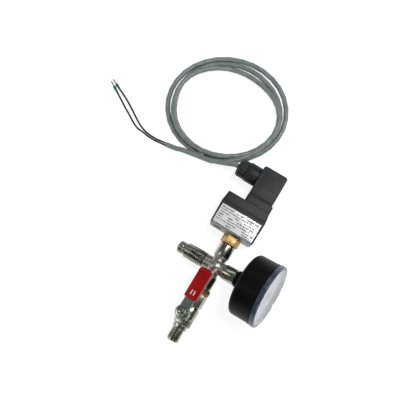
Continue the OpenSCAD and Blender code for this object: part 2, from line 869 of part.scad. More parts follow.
module base_plate() {
    inner_w = body_w - 2 * shell_wall - 0.2;
    inner_d = body_d - 2 * shell_wall - 0.2;
    guide_top = base_top + 4.4;
    color("darkgray") switch_frame() difference() {
        union() {
            translate([body_x, 0, 0])
                round_box(body_w - 1.6, body_d - 1.6, corner_r, base_z, housing_z - 0.1);
            translate([body_x, 0, 0]) round_box(inner_w, inner_d, 1, base_z, base_top);
            disc(port_spigot_r + 1.6, base_z, guide_top);
            translate([set_x, 0, 0]) disc(5.4, base_z, base_top + 2);
            for (y = [-8, 5.4]) translate([pivot_x - 2.6, y, base_top - cut])
                cube([5.2, 2.6, rocker_z - base_top + 3.6]);
        }
        disc(port_spigot_r + thread_gap, base_z - cut, diaphragm_z + diaphragm_t);
        disc(piston_r + run_gap, diaphragm_z, guide_top - 1.2);
        disc(2.5 + run_gap, diaphragm_z, guide_top + cut);
        translate([set_x - pocket[0] / 2, -pocket[1] / 2, base_z - cut])
            cube([pocket[0], pocket[1], pocket[2] + cut]);
        translate([set_x, 0, 0]) {
            disc(3.6, base_z, base_top + 1);
            disc(set_shaft_r + run_gap, base_z, base_top + 3);
        }
        translate([pivot_x, 0, rocker_z + rocker_t / 2]) rotate([90, 0, 0])
            disc(pin_r + 0.02, -body_d, body_d);
        cover_screw_places() disc(1.3, base_z + 1.4, base_top + cut);
    }
}

module cover_screw_places() {
    for (x = [-1, 1], y = [-1, 1])
        translate([body_x + x * (body_w / 2 - 5.4), y * (body_d / 2 - 5.4), 0]) children();
}

module housing() {
    color("#26292b") switch_frame() difference() {
        translate([body_x, 0, 0]) {
            round_box(body_w, body_d, corner_r, housing_z, housing_top);
            round_box(rim_w, body_d, corner_r, housing_top - 3.5, housing_top);
        }
        translate([body_x, 0, 0])
            round_box(body_w - 2 * shell_wall, body_d - 2 * shell_wall, 1,
                housing_z - cut, housing_top + cut);
    }
}

module top_cover() {
    roof = shell_wall;
    color("#26292b") switch_frame() difference() {
        union() {
            translate([body_x, 0, 0]) round_box(cover_w, body_d, corner_r, housing_top + 0.1, cover_top);
            translate([plug_shift + 0.7, 0, 0])
                round_box(pedestal_w, plug_w + 0.6, corner_r, cover_top - cut, pedestal_top);
        }
        difference() {
            translate([body_x, 0, 0]) round_box(cover_w - 2 * shell_wall, body_d - 2 * shell_wall, 1,
                housing_top - cut, cover_top - roof);
            cover_screw_places() disc(2.6, housing_top - cut, cover_top);
        }
        cover_screw_places() {
            disc(1.4, housing_top - cut, cover_top + cut);
            disc(2.6, cover_top - 1.2, cover_top + cut);
        }
        translate([plug_shift, 0, 0]) {
            for (b = blade_at) translate([b[0], b[1], cover_top - roof - cut])
                blade_box(b, 0.02, pedestal_h + roof + 2 * cut);
            disc(1.3, cover_top - roof - cut, pedestal_top + cut);
        }
    }
}

// A blade stands along X where it is beside the middle, and along Y in front and behind
module blade_box(b, gap, h) {
    size = b[1] == 0 ? [blade[1], blade[0]] : blade;
    translate([-size[0] / 2 - gap, -size[1] / 2 - gap, 0]) cube([size[0] + 2 * gap, size[1] + 2 * gap, h]);
}

module plug_pins() {
    color("silver") switch_frame() translate([plug_shift, 0, 0])
        for (b = blade_at) translate([b[0], b[1], cover_top - shell_wall])
            blade_box(b, 0, pedestal_h + shell_wall + 11);
}

module cover_screws() {
    color("silver") switch_frame() cover_screw_places() {
        disc(1.2, base_z + 2, cover_top - 1);
        difference() {
            disc(2.4, cover_top - 1.15, cover_top + 0.4);
            translate([-3, -0.3, cover_top - 0.3]) cube([6, 0.6, 2]);
        }
    }
}

module rating_label() {
    color("white") switch_frame() translate([body_x, -body_d / 2 - 0.25, housing_z + 0.3])
        translate([-22.8, 0, 0]) cube([45.6, 0.2, 20.6]);
}

module diaphragm() {
    color("dimgray") switch_frame()
        disc(port_spigot_r - 0.1, diaphragm_z + 0.02, diaphragm_z + diaphragm_t - 0.02);
}

module piston() {
    tip = rocker_z - 0.15;
    color("silver") switch_frame() rotate_extrude() polygon([
        [0, piston_z], [piston_r, piston_z], [piston_r, piston_z + 1.5], [2.5, piston_z + 1.5],
        [2.5, tip - 1.5], [0.5, tip], [0, tip]
    ]);
}

module rocker() {
    color("silver") switch_frame() difference() {
        union() {
            translate([set_x - 4, -4, rocker_z]) cube([-set_x + 4 + 9, 8, rocker_t]);
            translate([pivot_x, 0, rocker_z + rocker_t / 2]) rotate([90, 0, 0]) disc(2.8, -4, 4);
        }
        translate([pivot_x, 0, rocker_z + rocker_t / 2]) rotate([90, 0, 0])
            disc(pin_r + run_gap, -body_d, body_d);
    }
}

module rocker_pin() {
    color("silver") switch_frame() translate([pivot_x, 0, rocker_z + rocker_t / 2])
        rotate([90, 0, 0]) disc(pin_r, -8, 8);
}

module range_spring() {
    color("gray") switch_frame() translate([set_x, 0, 0])
        coil_spring(3.3, 0.5, plate_z + 1.3, rocker_z - 0.1, 5);
}

module spring_plate() {
    color("silver") switch_frame() translate([set_x, 0, 0]) difference() {
        disc(plate_r, plate_z, plate_z + 1.2);
        disc(set_shaft_r + run_gap, 0, rocker_z);
    }
}

module set_screw() {
    head_z = base_z + pocket[2] + 0.3;
    color("silver") switch_frame() translate([set_x, 0, 0]) difference() {
        union() {
            disc(3.5, head_z, base_top + 0.95);
            disc(set_shaft_r, head_z, rocker_z - 2);
        }
        translate([-4, -0.5, head_z - cut]) cube([8, 1, 1 + cut]);
    }
}

module set_screw_clip() {
    z = base_z + pocket[2] - 0.9;
    color("gray") switch_frame() translate([set_x, 0, 0]) difference() {
        pipe(4.4, 2.9, z, z + 0.8);
        translate([0, -0.8, z - cut]) cube([6, 1.6, 2]);
    }
}

module snap_switch() {
    width = 19;
    color("maroon") switch_frame() difference() {
        translate([button_x - 5, -3.2, snap_z]) cube([width, 6.4, 9.6]);
        translate([button_x, 0, 0]) disc(button_r + run_gap, snap_z - cut, snap_z + 3);
    }
}

module switch_button() {
    low = rocker_z + rocker_t + 0.1;
    color("white") switch_frame() translate([button_x, 0, 0]) rotate_extrude() polygon([
        [0, low], [0.3, low], [button_r, low + 0.5], [button_r, snap_z + 1.6], [0, snap_z + 1.6]
    ]);
}

// ---------------------------------------------------------------- plug

module plug_gasket() {
    color("dimgray") switch_frame() translate([plug_shift, 0, 0]) difference() {
        round_box(plug_w, plug_w, corner_r, pedestal_top + 0.05, plug_z - 0.05);
        round_box(plug_w - 6, plug_w - 6, 1, pedestal_top - cut, plug_z + cut);
    }
}

module plug_housing() {
    color("#26292b") switch_frame() difference() {
        union() {
            translate([plug_shift, 0, 0]) round_box(plug_w, plug_w, corner_r, plug_z, plug_top);
            translate([barrel_end, 0, gland_z]) rotate([0, 90, 0]) disc(barrel_d / 2, 0, barrel_len + 1);
        }
        translate([plug_shift, 0, 0]) {
            round_box(plug_w - 2 * plug_wall, plug_w - 2 * plug_wall, 1, plug_z - cut, plug_top - 4);
            disc(1.7, plug_z, plug_top + cut);
            disc(3.2, plug_top - 2.4, plug_top + cut);
        }
        translate([barrel_end, 0, gland_z]) rotate([0, 90, 0]) {
            disc(7.6, -cut, 9);
            disc(cable_hole_r + 1, 0, barrel_len + plug_wall + 1);
        }
    }
}

module terminal_block() {
    inner = plug_w - 2 * plug_wall - 0.4;
    color("#303335") switch_frame() translate([plug_shift, 0, 0]) difference() {
        round_box(inner, inner, 1, plug_z + 0.5, plug_z + 13);
        for (b = blade_at) translate([b[0], b[1], plug_z - cut]) blade_box(b, 0.05, 12);
        disc(1.7, plug_z - cut, plug_top);
    }
}

module plug_screw() {
    color("silver") switch_frame() translate([plug_shift, 0, 0]) difference() {
        union() {
            disc(1.25, pedestal_top - 6, plug_top - 2);
            disc(2.9, plug_top - 2.3, plug_top - 0.3);
        }
        translate([-3.5, -0.4, plug_top - 1.2]) cube([7, 0.8, 2]);
    }
}

module gland_nut() {
    groove_count = 10;
    color("#26292b") switch_frame() translate([barrel_end, 0, gland_z]) rotate([0, -90, 0]) difference() {
        union() {
            disc(7.5, -3, 0.5);
            turned_end(gland_nut_d / 2, 0.1, gland_nut_len);
        }
        disc(cable_hole_r, -barrel_len, gland_nut_len + cut);
        for (k = [0 : groove_count - 1]) rotate(360 * k / groove_count)
            translate([gland_nut_d / 2 + 0.5, 0, 0]) disc(1.2, -cut, gland_nut_len - 1.6);
    }
}

module gland_seal() {
    color("dimgray") switch_frame() translate([barrel_end, 0, gland_z]) rotate([0, 90, 0])
        pipe(7.4, cable_d / 2 + 0.1, 4.2, 8.9);
}

module gland_washer() {
    color("silver") switch_frame() translate([barrel_end, 0, gland_z]) rotate([0, 90, 0])
        pipe(7.4, cable_hole_r + 0.4, 3.2, 4);
}

// ---------------------------------------------------------------- cable

// Where the cable leaves the gland nut, and a point straight out from there
function on_switch(x, z) = rest_at + [x, z * cos(pitch), z * sin(pitch)];
gland_exit = on_switch(gland_end, gland_z);

module cable_lead() {
    start = [gland_exit, gland_exit - [5, 0.6, 0.8]];
    color("gray") swept_tube(concat(start, lead_points), cable_d / 2, tube_sides);
}

function ellipse(half, steps) = [for (i = [0 : steps - 1]) let (a = 360 * i / steps)
    [half[0] * cos(a), half[1] * sin(a)]];

module cable_coil() {
    color("gray") translate(coil_at) rotate(coil_turn) linear_extrude(coil_h) difference() {
        polygon(ellipse(coil_half, 48));
        polygon(ellipse(coil_half - [coil_w, coil_w], 48));
    }
}

module cable_tail() {
    color("gray") swept_tube(tail_points, cable_d / 2, tube_sides);
}

module conductors() {
    color("black") {
        swept_tube(core_a_points, core_d / 2, tube_sides);
        swept_tube(core_b_points, core_d / 2, tube_sides);
    }
}

// Lies along the end of a core, +Z away from the cable
module at_core_end(p) {
    last = p[len(p) - 1];
    way = heading(p, len(p) - 1);
    translate(last) rotate([0, 90, atan2(way[1], way[0])]) children();
}

module ferrule_collars() {
    color("teal") for (p = [core_a_points, core_b_points]) at_core_end(p)
        disc(ferrule_collar_r - 0.5, 0.02, ferrule_collar_len);
}

module ferrule_pins() {
    color("silver") for (p = [core_a_points, core_b_points]) at_core_end(p)
        disc(ferrule_r, ferrule_collar_len + 0.02, ferrule_collar_len + ferrule_pin_len);
}

cross_fitting();
double_nipple();
valve_body();
valve_end_piece();
valve_ball();
valve_seats();
valve_stem();
stem_packing();
packing_nut();
valve_lever();
lever_sleeve();
lever_nut();
relief_body();
relief_poppet();
relief_seal();
relief_spring();
relief_cap();
relief_lock_screw();
gauge_case();
gauge_socket();
bourdon_tube();
gauge_link();
gauge_sector();
gauge_arbor();
movement_plates();
hairspring();
gauge_dial();
gauge_pointer();
gauge_lens();
dial_screws();
pressure_port();
base_plate();
housing();
top_cover();
cover_screws();
rating_label();
diaphragm();
piston();
rocker();
rocker_pin();
range_spring();
spring_plate();
set_screw();
set_screw_clip();
snap_switch();
switch_button();
plug_pins();
plug_gasket();
plug_housing();
terminal_block();
plug_screw();
gland_nut();
gland_seal();
gland_washer();
cable_lead();
cable_coil();
cable_tail();
conductors();
ferrule_collars();
ferrule_pins();
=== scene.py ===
import json
import math
import random
import bpy
from mathutils import Matrix, Vector

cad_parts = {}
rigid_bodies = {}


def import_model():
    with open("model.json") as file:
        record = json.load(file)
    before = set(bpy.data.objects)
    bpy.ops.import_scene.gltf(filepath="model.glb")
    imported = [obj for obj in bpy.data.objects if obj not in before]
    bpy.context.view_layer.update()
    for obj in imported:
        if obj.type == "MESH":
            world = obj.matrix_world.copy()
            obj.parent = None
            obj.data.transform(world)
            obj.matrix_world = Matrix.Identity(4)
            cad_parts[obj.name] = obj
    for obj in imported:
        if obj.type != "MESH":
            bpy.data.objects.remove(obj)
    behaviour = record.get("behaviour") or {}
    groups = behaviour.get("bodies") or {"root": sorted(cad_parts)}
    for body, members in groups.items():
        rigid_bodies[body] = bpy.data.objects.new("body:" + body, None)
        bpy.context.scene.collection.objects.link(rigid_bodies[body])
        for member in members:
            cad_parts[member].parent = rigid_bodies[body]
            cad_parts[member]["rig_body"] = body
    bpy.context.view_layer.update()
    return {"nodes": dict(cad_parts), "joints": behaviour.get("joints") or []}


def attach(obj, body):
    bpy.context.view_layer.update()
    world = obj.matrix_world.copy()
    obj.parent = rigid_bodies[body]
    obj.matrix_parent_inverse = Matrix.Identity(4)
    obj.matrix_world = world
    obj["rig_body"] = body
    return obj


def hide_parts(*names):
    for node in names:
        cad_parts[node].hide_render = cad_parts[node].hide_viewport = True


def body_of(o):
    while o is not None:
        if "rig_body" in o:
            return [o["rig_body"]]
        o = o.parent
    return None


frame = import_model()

MM = 0.001
nodes = frame["nodes"]
joints = {j["name"]: j for j in frame["joints"]}

# ------------------------------------------------------------ the bench and the camera
# The assembly lies on a light table. Four soft lamps stand round it, low enough that flat
# tops don't mirror them; a fifth, the strongest, stands beside the camera and lights the
# facets that face up.

# The manifold's frame comes from its joints: the lever turns about its +Z, the pointer
# about its -X, and the switch's piston moves along the switch's own axis.
side_axis = -Vector(joints["pointer_turn"]["axis"])
lever_axis = Vector(joints["lever_turn"]["axis"])
run_axis = lever_axis.cross(side_axis)
switch_axis = Vector(joints["piston_lift"]["axis"])
ball_centre = Vector(joints["lever_turn"]["pos_m"])
dial_centre = Vector(joints["pointer_turn"]["pos_m"])
cross_centre = dial_centre - side_axis * (dial_centre - ball_centre).dot(side_axis)


def frame_at(origin, x, y, z):
    """Placing matrix of a frame whose own lengths are millimetres."""
    turn = Matrix((x, y, z)).transposed().to_4x4()
    return Matrix.Translation(origin) @ turn @ Matrix.Scale(MM, 4)


CROSS = frame_at(cross_centre, side_axis, run_axis, lever_axis)
DROP = frame_at(cross_centre, side_axis, lever_axis, -run_axis)
STEM = frame_at(ball_centre, side_axis, run_axis, lever_axis)
GAUGE = frame_at(cross_centre, -lever_axis, run_axis, side_axis)
RELIEF = frame_at(cross_centre, lever_axis, run_axis, -side_axis)
across = Vector((1, 0, 0))
SWITCH = frame_at(cross_centre, across, switch_axis.cross(across), switch_axis)

view_turn = math.radians(31.1)
view_tilt = math.radians(8.3)
view_distance = 0.587
view_target = Vector((-0.0633, 0.0367, 0.015))
sensor_mm = 36
lens_mm = 50.1

view_up = Vector((-math.sin(view_turn), math.cos(view_turn), 0))
view_right = Vector((math.cos(view_turn), math.sin(view_turn), 0))
towards = Vector((0, 0, math.cos(view_tilt))) - view_up * math.sin(view_tilt)
bpy.ops.object.camera_add(location=view_target + towards * view_distance)
camera = bpy.context.object
camera.rotation_euler = Matrix((view_right, towards.cross(view_right), towards)).transposed().to_euler()
camera.data.sensor_width = sensor_mm
camera.data.lens = lens_mm
bpy.context.scene.camera = camera


def linear(hex_colour):
    """Turns an sRGB hex colour into the linear values that a shader takes."""
    parts = [int(hex_colour[i:i + 2], 16) / 255 for i in (1, 3, 5)]
    return [p / 12.92 if p <= 0.04045 else ((p + 0.055) / 1.055) ** 2.4 for p in parts] + [1]


def add_node(material, kind, settings=None, **links):
    """Adds a node; a link's value is a socket to connect or a number to set."""
    node = material.node_tree.nodes.new(kind)
    for name, value in (settings or {}).items():
        if name in node.bl_rna.properties:
            setattr(node, name, value)
        else:
            node.inputs[name].default_value = value
    for name, value in links.items():
        material.node_tree.links.new(value, node.inputs[name.replace("_", " ")])
    return node


def new_material(name, colour, metallic, roughness):
    """A named material; its shader, and its coordinates in metres on the object."""
    material = bpy.data.materials.new(name)
    material.use_nodes = True
    shader = material.node_tree.nodes["Principled BSDF"]
    shader.inputs["Base Color"].default_value = linear(colour)
    shader.inputs["Metallic"].default_value = metallic
    shader.inputs["Roughness"].default_value = roughness
    place = add_node(material, "ShaderNodeTexCoord").outputs["Object"]
    return material, shader, place


def mottle(material, shader, place, size, dark, light, detail=3):
    """Soft colour variation whose patches are about size millimetres across."""
    noise = add_node(material, "ShaderNodeTexNoise", {"Scale": 1 / (size * MM), "Detail": detail},
                     Vector=place)
    ramp = add_node(material, "ShaderNodeValToRGB", Fac=noise.outputs["Fac"])
    ramp.color_ramp.elements[0].position = 0.35
    ramp.color_ramp.elements[1].position = 0.65
    ramp.color_ramp.elements[0].color = linear(dark)
    ramp.color_ramp.elements[1].color = linear(light)
    material.node_tree.links.new(ramp.outputs["Color"], shader.inputs["Base Color"])


def grain(material, shader, place, size, height, detail=4):
    """Fine bumps, size millimetres apart and height millimetres high."""
    noise = add_node(material, "ShaderNodeTexNoise", {"Scale": 1 / (size * MM), "Detail": detail},
                     Vector=place)
    bump = add_node(material, "ShaderNodeBump", {"Distance": height * MM, "Strength": 1.0},
                    Height=noise.outputs["Fac"])
    material.node_tree.links.new(bump.outputs["Normal"], shader.inputs["Normal"])


def uneven_gloss(material, shader, place, size, low, high):
    """Roughness that wanders between two values, as handled metal's does."""
    noise = add_node(material, "ShaderNodeTexNoise", {"Scale": 1 / (size * MM), "Detail": 5}, Vector=place)
    spread = add_node(material, "ShaderNodeMapRange", {"To Min": low, "To Max": high},
                      Value=noise.outputs["Fac"])
    material.node_tree.links.new(spread.outputs["Result"], shader.inputs["Roughness"])


def light_table():
    """Opal acrylic lit from below: white, with hardly a shadow on it."""
    material, shader, _ = new_material("opal_acrylic_table", "#A0A0A0", 0, 0.9)
    shader.inputs["Specular IOR Level"].default_value = 0.1
    shader.inputs["Emission Color"].default_value = linear("#FFFFFF")
    shader.inputs["Emission Strength"].default_value = 0.85
    return material


bench_size = 40
bpy.ops.mesh.primitive_plane_add(size=bench_size, location=(view_target.x, view_target.y, 0))
bench = bpy.context.object
bench.name = "bench"
bench.data.materials.append(light_table())

world = bpy.data.worlds.new("studio")
bpy.context.scene.world = world
world.use_nodes = True
world.node_tree.nodes["Background"].inputs["Color"].default_value = linear("#E8EEF2")
world.node_tree.nodes["Background"].inputs["Strength"].default_value = 0.12
bpy.context.scene.view_settings.view_transform = "Standard"


def soft_lamp(name, where, size, length, watts):
    """A rectangular lamp that faces the middle of the view."""
    bpy.ops.object.light_add(type="AREA", location=view_target + where)
    lamp = bpy.context.object
    lamp.name = name
    lamp.data.shape = "RECTANGLE"
    lamp.data.size = size
    lamp.data.size_y = length
    lamp.data.energy = watts
    lamp.rotation_euler = (-where).to_track_quat("-Z", "Y").to_euler()


up = Vector((0, 0, 1))
soft_lamp("key_lamp", up * 0.73 + view_right * 0.68 + view_up * 0.12, 0.3, 0.3, 2.3)
soft_lamp("left_lamp", up * 0.6 - view_right * 0.85 + view_up * 0.1, 0.25, 0.7, 1.5)
soft_lamp("top_lamp", up * 0.7 + view_up * 0.85 - view_right * 0.1, 0.7, 0.3, 1.0)
soft_lamp("near_lamp", up * 0.7 - view_up * 0.9, 0.6, 0.2, 2.2)
soft_lamp("front_lamp", up * 1.0 + view_right * 0.28 + view_up * 0.12, 0.22, 0.22, 3.2)

# ------------------------------------------------------------ cross fitting
# A brass casting with four arms, nickel plated. The middle is left as cast, matt and a
# little lumpy; the three sockets are turned smooth, with a plain bore for each thread.

TINY = 0.001


def turned(name, stations, sides=96):
    """A lathe shape about Z from (radius, height) stations in millimetres."""
    bpy.ops.object.select_all(action="DESELECT")
    radius, height = max(stations[0][0], TINY), stations[0][1]
    bpy.ops.mesh.primitive_circle_add(vertices=sides, radius=radius)
    piece = bpy.context.object
    piece.name = name
    bpy.ops.object.mode_set(mode="EDIT")
    bpy.ops.mesh.select_all(action="SELECT")
    bpy.ops.transform.translate(value=(0, 0, height))
    for r, z in stations[1:]:
        r = max(r, TINY)
        bpy.ops.mesh.extrude_edges_move(TRANSFORM_OT_translate={"value": (0, 0, z - height)})
        bpy.ops.transform.resize(value=(r / radius, r / radius, 1), center_override=(0, 0, z))
        radius, height = r, z
    bpy.ops.mesh.select_all(action="SELECT")
    bpy.ops.mesh.remove_doubles(threshold=2 * TINY)
    bpy.ops.mesh.normals_make_consistent(inside=False)
    bpy.ops.object.mode_set(mode="OBJECT")
    return piece


def arc(centre, radius, start, end, steps=6):
    """Stations along an arc, its angles in degrees from the outward direction."""
    angles = [math.radians(start + (end - start) * i / steps) for i in range(steps + 1)]
    return [(centre[0] + radius * math.cos(a), centre[1] + radius * math.sin(a)) for a in angles]


def apply_modifiers(piece):
    bpy.ops.object.select_all(action="DESELECT")
    piece.select_set(True)
    bpy.context.view_layer.objects.active = piece
    for modifier in list(piece.modifiers):
        bpy.ops.object.modifier_apply(modifier=modifier.name)


def round_edges(piece, width, segments=2, angle=32):
    """Rounds the sharp edges; the width is in the piece's own units."""
    bevel = piece.modifiers.new("edges", "BEVEL")
    bevel.width = width
    bevel.segments = segments
    bevel.limit_method = "ANGLE"
    bevel.angle_limit = math.radians(angle)
    apply_modifiers(piece)


def fit(piece, place, body, material, *stands_for):
    """Puts a piece made in millimetres in its place, on its body."""
    piece.data.transform(place)
    piece.data.materials.clear()
    piece.data.materials.append(material)
    bpy.ops.object.select_all(action="DESELECT")
    piece.select_set(True)
    bpy.context.view_layer.objects.active = piece
    bpy.ops.object.shade_smooth_by_angle(angle=math.radians(35))
    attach(piece, body)
    if stands_for:
        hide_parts(*stands_for)
    return piece


def join(pieces, name):
    bpy.ops.object.select_all(action="DESELECT")
    for piece in pieces:
        piece.select_set(True)
    bpy.context.view_layer.objects.active = pieces[0]
    bpy.ops.object.join()
    pieces[0].name = name
    return pieces[0]


def turn_piece(piece, degrees, axis):
    piece.data.transform(Matrix.Rotation(math.radians(degrees), 4, axis))
    return piece


def cast_nickel():
    """Nickel plate over a sand-cast skin: warm grey, matt, softly lumpy.

    The lumps are drawn coarser than real, so that they show in the render.
    """
    material, shader, place = new_material("cast_nickel_plate", "#A5A299", 1, 0.36)
    mottle(material, shader, place, 3, "#94928A", "#B5B0A8")
    grain(material, shader, place, 1.1, 0.16)
    return material


def turned_nickel():
    """Nickel plate over turned brass: half bright, its lathe marks drawn as fine grain."""
    material, shader, place = new_material("turned_nickel_plate", "#A3A498", 1, 0.22)
    uneven_gloss(material, shader, place, 1.2, 0.17, 0.28)
    grain(material, shader, place, 0.25, 0.004)
    return material


CAST_NICKEL = cast_nickel()
TURNED_NICKEL = turned_nickel()

arm_end = 25.5
socket_start = 11.5
socket_r = 8.2
neck_r = 6.8
relief_arm_end = 13.2
relief_arm_r = 7.5
thread_r = 6.53

arm_core = [(0, 0), (neck_r, 0), (neck_r, socket_start - 2.4), (socket_r - 0.3, socket_start + 0.5),
            (socket_r - 0.3, socket_start + 2), (0, socket_start + 2)]
cores = [turned("core", arm_core, 48) for _ in range(3)]
turn_piece(cores[0], 90, "Y")
turn_piece(cores[1], -90, "X")
turn_piece(cores[2], 90, "X")
relief_face = relief_arm_end - 0.3
relief_core = [(0, 0), (relief_arm_r, 0), (relief_arm_r, relief_face), (0, relief_face)]
relief_arm = turned("core", relief_core, 48)
turn_piece(relief_arm, -90, "Y")
bpy.ops.object.select_all(action="DESELECT")
bpy.ops.mesh.primitive_uv_sphere_add(segments=48, ring_count=24, radius=8.9)
hub = bpy.context.object
casting = join([hub, relief_arm] + cores, "cross_casting")
skin = casting.modifiers.new("skin", "REMESH")
skin.mode = "VOXEL"
skin.voxel_size = 0.4
fillets = casting.modifiers.new("fillets", "SMOOTH")
fillets.factor = 0.6
fillets.iterations = 9
apply_modifiers(casting)
fit(casting, CROSS, "manifold", CAST_NICKEL, "cross_fitting")

socket_profile = [
    (socket_r, socket_start), (socket_r, arm_end - 0.8), (socket_r - 0.8, arm_end),
    (thread_r, arm_end), (thread_r, arm_end - 3), (thread_r + 0.4, socket_start), (socket_r, socket_start),
]
sockets = [turned("socket", socket_profile) for _ in range(3)]
turn_piece(sockets[0], 90, "Y")
turn_piece(sockets[1], -90, "X")
turn_piece(sockets[2], 90, "X")
socket_set = join(sockets, "cross_sockets")
round_edges(socket_set, 0.25)
fit(socket_set, CROSS, "manifold", TURNED_NICKEL)

# ------------------------------------------------------------ brass hexagons
# The double nipple between the cross and the valve, and the switch's pressure port, are
# turned from 17 mm hexagon brass bar and left bare.


def bar_brass():
    """Bare turned brass, dulled by handling: warm, with small stains."""
    material, shader, place = new_material("turned_brass", "#BA9A66", 1, 0.42)
    mottle(material, shader, place, 4, "#AB8B56", "#C8AA79")
    grain(material, shader, place, 0.3, 0.005)
    return material


BRASS = bar_brass()


def edged_copy(node, width, material, segments=2):
    """The CAD piece itself, with its sharp edges broken as a machinist would."""
    original = nodes[node]
    copy = original.copy()
    copy.data = original.data.copy()
    copy.parent = None
    for key in list(copy.keys()):
        del copy[key]
    copy.name = node + "_edged"
    bpy.context.scene.collection.objects.link(copy)
    bpy.ops.object.select_all(action="DESELECT")
    copy.select_set(True)
    bpy.context.view_layer.objects.active = copy
    bpy.ops.object.mode_set(mode="EDIT")
    bpy.ops.mesh.select_all(action="SELECT")
    bpy.ops.mesh.remove_doubles(threshold=0.002 * MM)
    bpy.ops.mesh.dissolve_limited(angle_limit=math.radians(0.8))
    bpy.ops.mesh.normals_make_consistent(inside=False)
    bpy.ops.object.mode_set(mode="OBJECT")
    round_edges(copy, width * MM, segments)
    return fit(copy, Matrix.Identity(4), body_of(original)[0], material, node)


edged_copy("double_nipple", 0.3, BRASS)
edged_copy("pressure_port", 0.3, BRASS)

# ------------------------------------------------------------ ball valve
# A small nickel-plated brass ball valve. Its end piece is screwed into the body over the
# ball and its two seats; below the ball are a hexagon, a collar and the G1/4 inlet thread.

edged_copy("valve_end_piece", 0.4, TURNED_NICKEL)
edged_copy("packing_nut", 0.25, TURNED_NICKEL)

ball_drop = (ball_centre - cross_centre).length / MM
body_top = ball_drop - 10.2
hex_top = ball_drop + 3.6
hex_end = hex_top + 8
inlet_top = hex_end + 5
inlet_end = inlet_top + 13.4
chamber_r = 9.4
hex_flat_r = 8.5

body_profile = [
    (7.8, body_top), (8.0, body_top + 0.4), (chamber_r, body_top + 3.2), (chamber_r, hex_top - 0.4),
    (8.4, hex_top + 1), (8.4, hex_end - 0.6), (7.5, hex_end + 0.2), (7.5, inlet_top - 0.8),
    (6.0, inlet_top), (5.7, inlet_end - 0.8), (5.0, inlet_end), (4.0, inlet_end),
    (4.0, body_top + 2), (7.8, body_top + 2), (7.8, body_top),
]
valve_run = turned("run", body_profile)
round_edges(valve_run, 0.3)
bpy.ops.object.select_all(action="DESELECT")
bpy.ops.mesh.primitive_cylinder_add(vertices=6, radius=hex_flat_r / math.cos(math.pi / 6),
                                    depth=hex_end - hex_top, location=(0, 0, (hex_top + hex_end) / 2))
valve_hex = bpy.context.object
bpy.ops.object.transform_apply(location=True, rotation=True, scale=True)
turn_piece(valve_hex, 30, "Z")
round_edges(valve_hex, 0.7, 3)
boss = turned("boss", [(0, 4), (6.2, 4), (6.2, 11.6), (5.6, 13), (4.4, 13), (4.4, 11), (0, 11)])
round_edges(boss, 0.3)
turn_piece(boss, -90, "X")
boss.data.transform(Matrix.Translation((0, 0, ball_drop)))
valve_shell = join([valve_run, valve_hex, boss], "valve_shell")
fit(valve_shell, DROP, "manifold", TURNED_NICKEL, "valve_body")

# The inlet thread is one ridge wound down the end, 19 threads to the inch.
thread_pitch = 25.4 / 19
ridge_r = 6.58
root_r = 5.75
turns = int((inlet_end - inlet_top - 1.6) / thread_pitch)
bpy.ops.object.select_all(action="DESELECT")
bpy.ops.mesh.primitive_plane_add(size=2)
ridge = bpy.context.object
ridge.name = "inlet_thread"
corners = [(root_r, -0.62), (ridge_r, -0.16), (ridge_r, 0.16), (root_r, 0.62)]
for vertex, (x, z) in zip(sorted(ridge.data.vertices, key=lambda v: math.atan2(v.co.y, v.co.x)), corners):
    vertex.co = (x, 0, z + inlet_top + 0.9)
bpy.ops.object.mode_set(mode="EDIT")
bpy.ops.mesh.select_all(action="SELECT")
bpy.ops.mesh.delete(type="ONLY_FACE")
bpy.ops.object.mode_set(mode="OBJECT")
wind = ridge.modifiers.new("wind", "SCREW")
wind.axis = "Z"
wind.angle = 2 * math.pi
wind.screw_offset = thread_pitch
wind.iterations = turns
wind.steps = wind.render_steps = 64
wind.use_merge_vertices = False
apply_modifiers(ridge)
bpy.ops.object.mode_set(mode="EDIT")
bpy.ops.mesh.select_all(action="SELECT")
bpy.ops.mesh.remove_doubles(threshold=TINY)
bpy.ops.mesh.normals_make_consistent(inside=False)
bpy.ops.object.mode_set(mode="OBJECT")
fit(ridge, DROP, "manifold", TURNED_NICKEL)

# ------------------------------------------------------------ lever
# A strip of zinc-plated steel with a round eye, held on the stem by a nut; a sleeve of
# soft red vinyl is dipped over its grip and carries two plain pale bars.


def zinc_plate():
    """Bright zinc with a faint green-blue passivate, a little cloudy."""
    material, shader, place = new_material("zinc_plate", "#8F9A96", 1, 0.32)
    mottle(material, shader, place, 2.5, "#7E8C86", "#A3ACA8")
    uneven_gloss(material, shader, place, 1.5, 0.25, 0.42)
    return material


def red_vinyl():
    """Dip-moulded vinyl: deep red, half gloss, faintly wavy skin."""
    material, shader, place = new_material("red_vinyl", "#9E0002", 0, 0.34)
    mottle(material, shader, place, 6, "#940002", "#A60103")
    grain(material, shader, place, 1.5, 0.03, 2)
    shader.inputs["Specular IOR Level"].default_value = 0.3
    return material


def pale_ink():
    """Screen-printed ink, matt and slightly broken."""
    material, shader, place = new_material("pale_ink", "#E9DDDA", 0, 0.55)
    mottle(material, shader, place, 0.4, "#D9C6C2", "#F1E8E6")
    return material


ZINC = zinc_plate()
RED_VINYL = red_vinyl()
PALE_INK = pale_ink()

edged_copy("valve_lever", 0.4, ZINC, 3)
edged_copy("lever_nut", 0.2, TURNED_NICKEL)
edged_copy("valve_stem", 0.15, TURNED_NICKEL)


def block(name, low, high):
    """A box between two corners, in millimetres."""
    bpy.ops.object.select_all(action="DESELECT")
    size = [h - l for l, h in zip(low, high)]
    middle = [(h + l) / 2 for l, h in zip(low, high)]
    bpy.ops.mesh.primitive_cube_add(size=1, location=middle, scale=size)
    piece = bpy.context.object
    piece.name = name
    bpy.ops.object.transform_apply(location=True, rotation=True, scale=True)
    return piece


